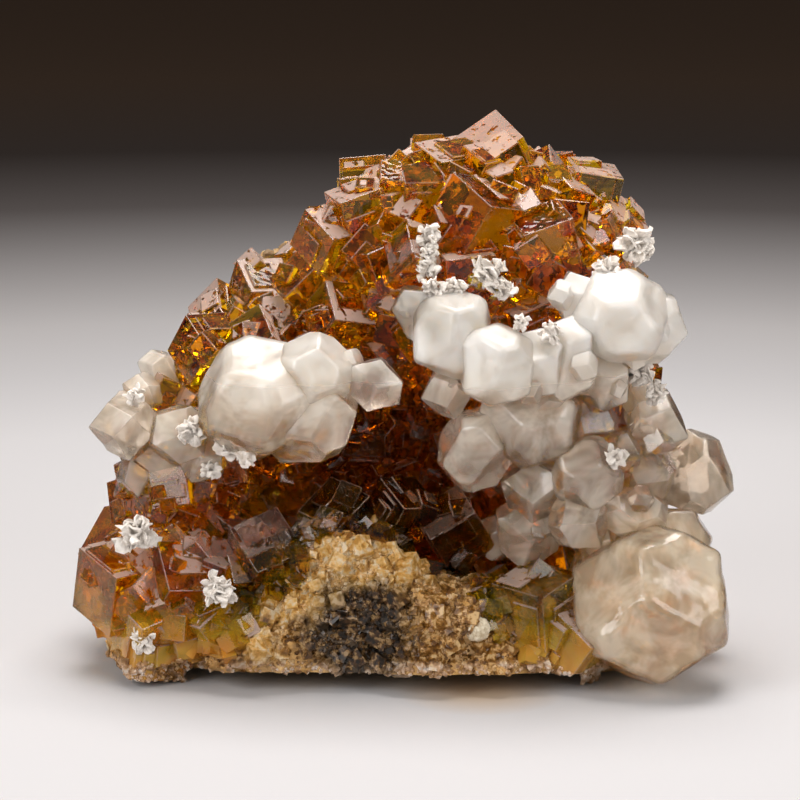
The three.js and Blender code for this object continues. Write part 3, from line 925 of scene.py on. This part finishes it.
def surface_tree(pieces):
    """The surfaces of several pieces, in mm, to look up the nearest point on them."""
    points, faces = [], []
    for piece in pieces:
        first = len(points)
        points += [v.co / MM for v in piece.data.vertices]
        faces += [[first + i for i in face.vertices] for face in piece.data.polygons]
    return bvhtree.BVHTree.FromPolygons(points, faces)


def tuft(name, at, reach, host):
    """A crumpled cluster of white plates round one spot, rooted on the nearest crystal."""
    at = Vector(at)
    root = host.find_nearest(at)[0]
    centres = []
    for _ in range(int(18 + reach * 8)):
        out = Vector((random() - 0.5, -0.5 * random(), random() - 0.5)).normalized()
        centres.append((at + out * reach * between(0.15, 0.85), out))
    for _ in range(ROOT_PETALS):
        centres.append((at.lerp(root, between(0.2, 1.0)), (at - root).normalized()))
    solids = []
    for middle, out in centres:
        facing = out.cross(scattered()).normalized()
        solids.append(new_object("petal", petal(middle, facing, reach * between(*PETAL_SIZE))))
    piece = union(solids)
    piece.name = name
    return piece


def nodule():
    piece = ball("cream_nodule", *NODULE, 4)
    displaced(piece, lambda p: 0.22 * noise.noise(p * 1.1) + 0.1 * noise.noise(p * 3.5))
    piece.data.shade_smooth()
    return piece


# Materials


class Nodes:
    """A material's nodes. An input takes a number, a colour or the output of another node."""

    def __init__(self, name):
        self.material = bpy.data.materials.new(name)
        self.material.use_nodes = True
        self.tree = self.material.node_tree
        self.shader = self.tree.nodes["Principled BSDF"]
        self.place = self.make("TexCoord", "Object")

    def give(self, socket, value):
        if isinstance(value, bpy.types.NodeSocket):
            self.tree.links.new(value, socket)
        elif socket.type == "RGBA":
            socket.default_value = (*value, 1)
        else:
            socket.default_value = value

    def node(self, kind, inputs, **settings):
        made = self.tree.nodes.new("ShaderNode" + kind)
        for key, value in settings.items():
            setattr(made, key, value)
        for key, value in inputs.items():
            self.give(made.inputs[key], value)
        return made

    def make(self, kind, output, inputs={}, **settings):
        """One output of a new node."""
        return self.node(kind, inputs, **settings).outputs[output]

    def set(self, **values):
        """Sets inputs of the material's own shader."""
        for key, value in values.items():
            self.give(self.shader.inputs[key.replace("_", " ")], value)

    def noise(self, size_mm, detail=3, roughness=0.55, distortion=0.0):
        """A cloudy value from 0 to 1."""
        inputs = {"Vector": self.place, "Scale": 1 / (size_mm * MM), "Detail": detail}
        inputs |= {"Roughness": roughness, "Distortion": distortion}
        return self.make("TexNoise", "Fac", inputs)

    def ramp(self, value, *stops):
        """A colour ramp from (place, colour) pairs; a plain number stands for a grey."""
        node = self.node("ValToRGB", {"Fac": value})
        points = node.color_ramp.elements
        while len(points) < len(stops):
            points.new(0.5)
        for point, (place, colour) in zip(points, stops):
            point.position = place
            point.color = (*colour, 1) if isinstance(colour, tuple) else (colour, colour, colour, 1)
        return node.outputs["Color"]

    def own_value(self, name):
        """A number that the mesh holds for each face."""
        return self.make("Attribute", "Fac", attribute_name=name)

    def axis(self, name):
        """One coordinate of the place, in metres."""
        return self.make("SeparateXYZ", name, {"Vector": self.place})

    def rising(self, top):
        """0 at the table, 1 at a height in mm."""
        return self.math("DIVIDE", self.axis("Z"), top * MM)

    def mix(self, share, a, b, blend="MIX"):
        """The colour a where the share is 0 and b where it is 1."""
        inputs = {"Factor": share, "A": a, "B": b}
        return self.make("Mix", "Result", inputs, data_type="RGBA", blend_type=blend)

    def math(self, operation, a, b):
        return self.make("Math", "Value", {0: a, 1: b}, operation=operation)

    def bump(self, height, distance_mm, strength):
        inputs = {"Strength": strength, "Distance": distance_mm * MM, "Height": height}
        self.set(Normal=self.make("Bump", "Normal", inputs))

    def absorb(self, colour, density):
        """Tints the light on its way through the piece."""
        volume = self.make("VolumeAbsorption", "Volume", {"Color": colour, "Density": density})
        self.give(self.tree.nodes["Material Output"].inputs["Volume"], volume)


def near(m, place, inner, outer, ragged=0, cloud=None):
    """1 within a distance of a place in mm, 0 beyond another; a cloud makes its edge ragged."""
    inputs = {0: m.place, 1: Vector(place) * MM}
    spread = m.make("VectorMath", "Value", inputs, operation="DISTANCE")
    if ragged:
        shift = m.math("SUBTRACT", cloud, 0.5)
        spread = m.math("ADD", spread, m.math("MULTIPLY", shift, ragged * MM))
    return m.ramp(m.math("DIVIDE", spread, outer * MM), (inner / outer, 1.0), (1.0, 0.0))


SHEEN_TOPS = [(20, 0, 107), (37, 0, 100)]  # cube faces near these places get the pale film all over, as a painted sheen of the light above
SHEEN_REACH = 7
PARTLY_FROSTED_AND_SHEENED = [(24, -29, 19), (-61, -19, 18)]  # near these, side faces get a little of it too, partly frost and partly painted sheen
PARTLY_REACH = 6
PARTLY = 0.1
FROST_AND_SHEEN_SHARE = 0.42  # share of the other upward faces that get the pale film, partly frost and partly painted sheen of the light above
UPWARD = (0.25, 0.55)  # heights of a normal where the frost and painted sheen start and are full
RIM_WIDTH = 0.4  # faces narrower and longer than these are the worn edges of a cube
RIM_LENGTH = 1.5
RIM_FROST_AND_SHEEN = (0.15, 0.6)  # how much of the pale film those get on the sides and on top, partly frost and partly a painted highlight
# Recesses that get painted shade: centre and reach
SHADED_RECESSES = [((-4, -8, 41), 26), ((11, -12, 31), 20), ((-28, -18, 36), 17)]
TONES_FROM = 0.3  # tones below this are kept for the painted shade of the recesses
FACE_TURN = 40  # steps in which a face's direction is told apart
FACE_STEP = 0.25  # and its distance, in mm


def key_number(key, seed):
    """A number from 0 to 1 for a flat face."""
    mixed = (key[0] * 73 + key[1] * 179 + key[2] * 283 + key[3] * 419 + seed * 541) % 9973
    return (mixed * 7919 % 9973) / 9973


def face_key(face):
    """The same four whole numbers for all triangles of one flat face."""
    distance = face.normal.dot(face.center) / MM
    return (*(round(c * FACE_TURN) for c in face.normal), round(distance / FACE_STEP))


def gap_to(place, p):
    return (p - Vector(place)).length


def recess_shade_at(p):
    """How much painted shade a place in a recess gets, from 0 to 1."""
    shares = [max(0.0, 1 - gap_to(at, p) / reach) for at, reach in SHADED_RECESSES]
    return min(1.0, 2 * max(shares))


def number_faces(piece):
    """Stores for each face its frost, with a painted sheen of the light above on the faces that
    look upwards, and the tone of its amber, darkened in the recesses as painted shade.
    """
    keys = [face_key(face) for face in piece.data.polygons]
    area, length = {}, {}
    for key, face in zip(keys, piece.data.polygons):
        area[key] = area.get(key, 0) + face.area / MM**2
        corners = [piece.data.vertices[i].co for i in face.vertices]
        longest = max((a - b).length for a, b in around(corners)) / MM
        length[key] = max(length.get(key, 0), longest)
    frost_and_sheen = piece.data.attributes.new("frost_and_sheen", "FLOAT", "FACE")
    tone_and_shade = piece.data.attributes.new("tone_and_shade", "FLOAT", "FACE")
    for i, (key, face) in enumerate(zip(keys, piece.data.polygons)):
        p = face.center / MM
        upward = min(1.0, max(0.0, (face.normal.z - UPWARD[0]) / (UPWARD[1] - UPWARD[0])))
        chosen = any(gap_to(at, p) < SHEEN_REACH for at in SHEEN_TOPS)
        deep = recess_shade_at(p)
        # Worn edges and upward faces get the pale film, partly frost and partly painted sheen of
        # the light above
        if length[key] > RIM_LENGTH and area[key] < RIM_WIDTH * length[key]:
            frost_and_sheen.data[i].value = RIM_FROST_AND_SHEEN[0] + (RIM_FROST_AND_SHEEN[1] - RIM_FROST_AND_SHEEN[0]) * upward
        elif key_number(key, 1) < (1 if chosen else FROST_AND_SHEEN_SHARE):
            frost_and_sheen.data[i].value = upward * (0.7 + 0.3 * key_number(key, 2)) * (1 - 0.75 * deep)
        if any(gap_to(at, p) < PARTLY_REACH for at in PARTLY_FROSTED_AND_SHEENED):
            frost_and_sheen.data[i].value = max(PARTLY, frost_and_sheen.data[i].value)
        # The tone is darkened in the recesses as painted shade
        tone_and_shade.data[i].value = (TONES_FROM + (1 - TONES_FROM) * key_number(key, 3)) * (1 - deep)


def fluorite_material():
    """Clear amber in several tones, darkened in the recesses as painted shade, with a pale film on
    many of the faces that look upwards that is partly frost and partly a painted sheen of the light
    above.
    """
    m = Nodes("amber_fluorite")
    m.set(IOR=1.434)
    broken = m.ramp(m.noise(2.0, detail=2, roughness=0.75), (0.36, 0.0), (0.43, 1.0))
    # The pale film is partly frost and partly a painted sheen of the light above on upward faces
    film_and_sheen = m.math("MULTIPLY", m.own_value("frost_and_sheen"), broken)
    cloudy = m.noise(5, detail=0)
    foot = m.math("ADD", m.rising(36), m.math("MULTIPLY", cloudy, 0.5))
    low = m.ramp(foot, (0.43, 1.0), (0.75, 0.0))
    milky = m.ramp(cloudy, (0.4, 0.6), (0.6, 0.38))
    clear = m.mix(low, m.ramp(cloudy, (0.4, 1.0), (0.62, 0.96)), milky)
    veil_and_sheen = m.ramp(film_and_sheen, (0.0, 0.6), (1.0, 0.5))
    m.set(Transmission_Weight=m.mix(film_and_sheen, clear, veil_and_sheen))
    # The darkest tone is painted shade for the recesses
    amber = m.ramp(
        m.own_value("tone_and_shade"),
        (0.0, (0.34, 0.13, 0.004)),
        (TONES_FROM, (1.0, 0.60, 0.015)),
        (0.65, (1.0, 0.70, 0.02)),
        (1.0, (1.0, 0.82, 0.03)),
    )
    honey = m.ramp(cloudy, (0.35, (0.86, 0.36, 0.035)), (0.65, (0.96, 0.50, 0.12)))
    pale = m.ramp(film_and_sheen, (0.0, (0.80, 0.58, 0.47)), (1.0, (0.77, 0.58, 0.49)))
    coloured = m.ramp(film_and_sheen, (0.0, 0.0), (0.35, 1.0))
    m.set(Base_Color=m.mix(coloured, m.mix(low, amber, honey), pale))
    m.set(Roughness=m.ramp(film_and_sheen, (0.0, 0.03), (1.0, 0.28)))
    m.bump(m.noise(1.1, detail=0), 0.16, 0.3)
    m.absorb((0.984, 0.875, 0.12), 190)
    return m.material


CREAM_CRYSTALS = [(48.7, -25, 17), (59, -5, 38.5)]  # centres of the cream crystals
# Clearer crystals: centre and reach
GLASSY_CRYSTALS = [((-5, -25, 61), 8), ((2, -22, 75), 8), ((-9, -26, 52), 6), ((38, -18, 54), 8)]
GLASSY_EDGE = 3  # width of the edge of that reach


def calcite_material():
    """White higher up, clearer and greyer lower down, and cream in the crystals at the lower right.

    The outlines are clearer than the middles, because the milk is in the heart of each crystal.
    """
    m = Nodes("milky_calcite")
    height = m.rising(110)
    high = m.ramp(height, (0.42, 0.0), (0.58, 1.0))
    top = m.ramp(height, (0.53, 0.0), (0.63, 1.0))
    wisps = m.noise(8, detail=3, roughness=0.62, distortion=0.5)
    warm = m.ramp(wisps, (0.38, (1.0, 0.81, 0.64)), (0.62, (1.0, 0.87, 0.74)))
    cool = m.ramp(wisps, (0.38, (1.0, 0.90, 0.80)), (0.62, (1.0, 0.945, 0.88)))
    white = m.mix(top, warm, cool)
    cream = m.ramp(wisps, (0.38, (0.98, 0.74, 0.50)), (0.62, (1.0, 0.83, 0.64)))
    slight = m.math("MULTIPLY", near(m, CREAM_CRYSTALS[1], 11, 14), 0.25)
    creamy = m.math("MAXIMUM", near(m, CREAM_CRYSTALS[0], 17, 20), slight)
    m.set(Base_Color=m.mix(creamy, white, cream))
    m.set(IOR=1.55)
    m.set(Roughness=m.ramp(high, (0.0, 0.11), (1.0, 0.29)))
    m.set(Subsurface_Weight=0.4, Subsurface_Scale=0.004, Subsurface_Radius=(1.0, 0.93, 0.85))
    lower = m.ramp(wisps, (0.38, 0.86), (0.62, 0.62))
    upper = m.ramp(wisps, (0.38, 0.5), (0.62, 0.28))
    dense = m.ramp(wisps, (0.38, 0.72), (0.62, 0.5))
    outline = m.make("LayerWeight", "Facing", {"Blend": 0.5})
    outline = m.ramp(outline, (0.25, 0.0), (0.85, 0.35))
    glassy = 0.0
    for at, reach in GLASSY_CRYSTALS:
        glassy = m.math("MAXIMUM", glassy, near(m, at, reach - GLASSY_EDGE, reach))
    clear = m.math("ADD", m.mix(creamy, m.mix(high, lower, upper), dense), outline)
    clear = m.math("ADD", clear, m.math("MULTIPLY", glassy, 0.35))
    m.set(Transmission_Weight=m.math("MINIMUM", clear, 0.95))
    m.absorb((0.98, 0.92, 0.82), 8)
    return m.material


def rock_material():
    """Golden sugary stone near the table, darker brown further up behind the crystals, partly its
    own colour and partly painted shade for the recesses seen through the amber.
    """
    m = Nodes("sugary_rock")
    broad = m.noise(8, detail=3, roughness=0.65)
    tan, brown = (
        m.ramp(broad, *zip((0.3, 0.48, 0.68), colours))
        for colours in (
            ((0.28, 0.13, 0.025), (0.6, 0.33, 0.1), (0.85, 0.57, 0.28)),
            ((0.07, 0.035, 0.012), (0.2, 0.11, 0.04), (0.36, 0.25, 0.13)),
        )
    )
    # Higher up the brown is partly painted shade, to darken the recesses seen through the amber
    raised = m.ramp(m.rising(50), (0.5, 0.0), (0.9, 1.0))
    fine = m.noise(2.2, detail=3)
    grey = m.ramp(fine, (0.35, (0.016, 0.010, 0.005)), (0.7, (0.13, 0.08, 0.04)))
    patch = near(m, DARK_PATCH, *DARK_REACH, cloud=broad)
    m.set(Base_Color=m.mix(patch, m.mix(raised, tan, brown), grey))
    m.set(Roughness=0.55)
    m.bump(m.noise(0.9, detail=3, roughness=0.7), 0.5, 0.6)
    return m.material


def grain_material():
    """Glassy grains, golden brown to beige, paler along the lower rim and dark in the hollow."""
    m = Nodes("sugar_grains")
    fine = m.noise(1.5, detail=2, roughness=0.65)
    broad = m.noise(7, detail=3, roughness=0.6)
    brown, beige, pale, dark = (
        m.ramp(fine, *zip(places, colours))
        for places, *colours in (
            ((0.38, 0.52, 0.62), (0.16, 0.06, 0.007), (0.44, 0.195, 0.03), (0.9, 0.6, 0.27)),
            ((0.35, 0.5, 0.62), (0.64, 0.31, 0.05), (1.0, 0.62, 0.2), (1.0, 0.82, 0.55)),
            ((0.38, 0.52, 0.6), (0.62, 0.34, 0.14), (0.94, 0.64, 0.41), (1.0, 0.87, 0.76)),
            ((0.42, 0.53, 0.62), (0.014, 0.007, 0.002), (0.11, 0.045, 0.009), (0.48, 0.29, 0.12)),
        )
    )
    bright = m.ramp(m.math("ADD", broad, m.rising(60)), (0.60, 0.0), (0.76, 1.0))
    bright = m.math("SUBTRACT", bright, near(m, BROWN_PATCH, *BROWN_REACH, cloud=broad))
    slant = m.math("MULTIPLY", m.axis("Y"), ARCH_RISE / (ARCH_BACK - ARCH_FRONT))
    above = m.math("DIVIDE", m.math("ADD", m.axis("Z"), slant), 10 * MM)
    rim = m.ramp(above, (0.02, 1.0), (0.18, 0.0))
    patchy_rim = m.math("MULTIPLY", rim, m.ramp(broad, (0.42, 0.0), (0.5, 1.0)))
    lit = m.mix(patchy_rim, m.mix(bright, brown, beige), pale)
    patch = near(m, DARK_PATCH, *DARK_REACH, cloud=broad)
    m.set(Base_Color=m.mix(patch, lit, dark))
    m.set(Roughness=0.38, IOR=1.5, Transmission_Weight=0.4)
    return m.material


def blade_material():
    m = Nodes("white_blades")
    patches = m.noise(1.5, detail=3)
    m.set(Base_Color=m.ramp(patches, (0.35, (0.74, 0.66, 0.58)), (0.6, (0.90, 0.84, 0.77))))
    m.set(Roughness=0.45, IOR=1.5)
    m.bump(m.noise(0.6, detail=4), 0.08, 0.5)
    return m.material


def nodule_material():
    m = Nodes("cream_nodule")
    patches = m.noise(0.7, detail=5)
    m.set(Base_Color=m.ramp(patches, (0.35, (0.52, 0.40, 0.24)), (0.65, (0.85, 0.76, 0.58))))
    m.set(Roughness=0.75)
    m.bump(m.noise(0.4, detail=4), 0.15, 0.6)
    return m.material


def dress(piece, material, slot, *nodes):
    """Gives a piece its material, attaches it to the root and hides the nodes of the part that it
    stands for; the slot is not used.
    """
    piece.data.materials.clear()
    piece.data.materials.append(material)
    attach(piece, "root")
    if nodes:
        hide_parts(*nodes)


# Assembly

cubes = cube_places()
amber_look = fluorite_material()
crust = fluorite_cluster(cubes)
dress(crust, amber_look, "fluorite", "fluorite_cluster")
calcite_look = calcite_material()
crystals_all = [crust]
for i, (group, crystals) in enumerate(CALCITE.items()):
    restart(i + 1)
    crystals_all.append(calcite_group(group, crystals))
    dress(crystals_all[-1], calcite_look, "calcite", group)
host = surface_tree(crystals_all)
restart(10)
rock = matrix_rock()
grain_look = grain_material()
restart(11)
dress(sugar_grains(rock, crust), grain_look, "matrix")
restart(12)
dress(back_grains(rock), grain_look, "matrix")
restart(13)
dress(amber_crumbs(rock, cubes), amber_look, "fluorite")
dress(rock, rock_material(), "matrix", "matrix_rock")
blade_look = blade_material()
for i, (at, reach) in enumerate(TUFTS):
    restart(20 + i)
    dress(tuft(f"white_tuft_{i + 1}", at, reach, host), blade_look, "blades", f"blade_tuft_{i + 1}")
for i, (at, reach) in enumerate(CRUSTS):
    restart(40 + i)
    dress(tuft(f"white_crust_{i + 1}", at, reach, host), blade_look, "blades")
dress(nodule(), nodule_material(), "nodule", "nodule")

# Stage, light and camera

CAMERA_DISTANCE = 700
CAMERA_ELEVATION = 12
TARGET = (0, 0, 52.5)
MM_PER_PIXEL = 0.2016
PICTURE = 800
SENSOR = 36
FLOOR_RADIUS = 6000
GLOW = ((16, -28, 0), 4, 17)  # amber light on the floor: place, full within, gone outside
LIGHTS = [  # place, side of the square and power, in watts
    ("softbox_above", (20, 60, 620), 400, 4.7, (1.0, 0.96, 0.93)),
    ("softbox_left", (-440, -380, 320), 350, 2.1, (1, 1, 1)),
    ("softbox_right", (430, -380, 300), 300, 1.3, (1, 1, 1)),
]
WORLD_COLOUR = (1.0, 0.97, 0.94, 1)
WORLD_STRENGTH = 0.24
BOUNCES = 8


def floor():
    """A wide round floor, white round the specimen and dark far away from it as painted falloff of
    the light, with a painted amber glow under the front of the specimen.
    """
    bm = bmesh.new()
    bmesh.ops.create_circle(bm, cap_ends=True, segments=96, radius=FLOOR_RADIUS)
    made = new_object("floor", bm)
    m = Nodes("pale_floor")
    # The floor darkens with distance as painted falloff of the light
    grey = m.ramp(
        m.make("VectorMath", "Value", {0: m.place}, operation="LENGTH"),
        (0.22, (0.54, 0.53, 0.535)),
        (0.30, (0.48, 0.47, 0.475)),
        (0.37, (0.45, 0.435, 0.435)),
        (0.48, (0.30, 0.285, 0.285)),
        (0.60, (0.122, 0.108, 0.105)),
        (0.75, (0.05, 0.040, 0.036)),
        (1.00, (0.075, 0.050, 0.036)),
    )
    m.set(Base_Color=m.mix(near(m, *GLOW), grey, (1.0, 0.80, 0.58), "MULTIPLY"))
    m.set(Roughness=1.0, Specular_IOR_Level=0.0)
    made.data.materials.append(m.material)


def area_light(name, place, side, power, colour):
    """A square light that faces the specimen."""
    light = bpy.data.lights.new(name, "AREA")
    light.shape = "SQUARE"
    light.size = side * MM
    light.energy = power
    light.color = colour
    made = placed(name, light)
    made.location = Vector(place) * MM
    made.rotation_mode = "QUATERNION"
    made.rotation_quaternion = (Vector(TARGET) - Vector(place)).to_track_quat("-Z", "Y")


def camera():
    lens = bpy.data.cameras.new("camera")
    lens.sensor_width = SENSOR
    lens.lens = SENSOR * CAMERA_DISTANCE / (PICTURE * MM_PER_PIXEL)
    made = placed("camera", lens)
    e = math.radians(CAMERA_ELEVATION)
    back = Vector((0, -math.cos(e), math.sin(e)))
    made.location = (Vector(TARGET) + back * CAMERA_DISTANCE) * MM
    made.rotation_mode = "QUATERNION"
    made.rotation_quaternion = (-back).to_track_quat("-Z", "Y")
    bpy.context.scene.camera = made


floor()
for light in LIGHTS:
    area_light(*light)
camera()

world = bpy.data.worlds.new("studio")
bpy.context.scene.world = world
world.use_nodes = True
sky = world.node_tree.nodes["Background"].inputs
sky["Color"].default_value = WORLD_COLOUR
sky["Strength"].default_value = WORLD_STRENGTH
cycles = bpy.context.scene.cycles
cycles.use_denoising = True
cycles.use_light_tree = False
cycles.denoising_prefilter = "FAST"
cycles.max_bounces = BOUNCES
cycles.transmission_bounces = BOUNCES
cycles.diffuse_bounces = 2
cycles.transparent_max_bounces = BOUNCES
bpy.context.scene.view_settings.view_transform = "Standard"
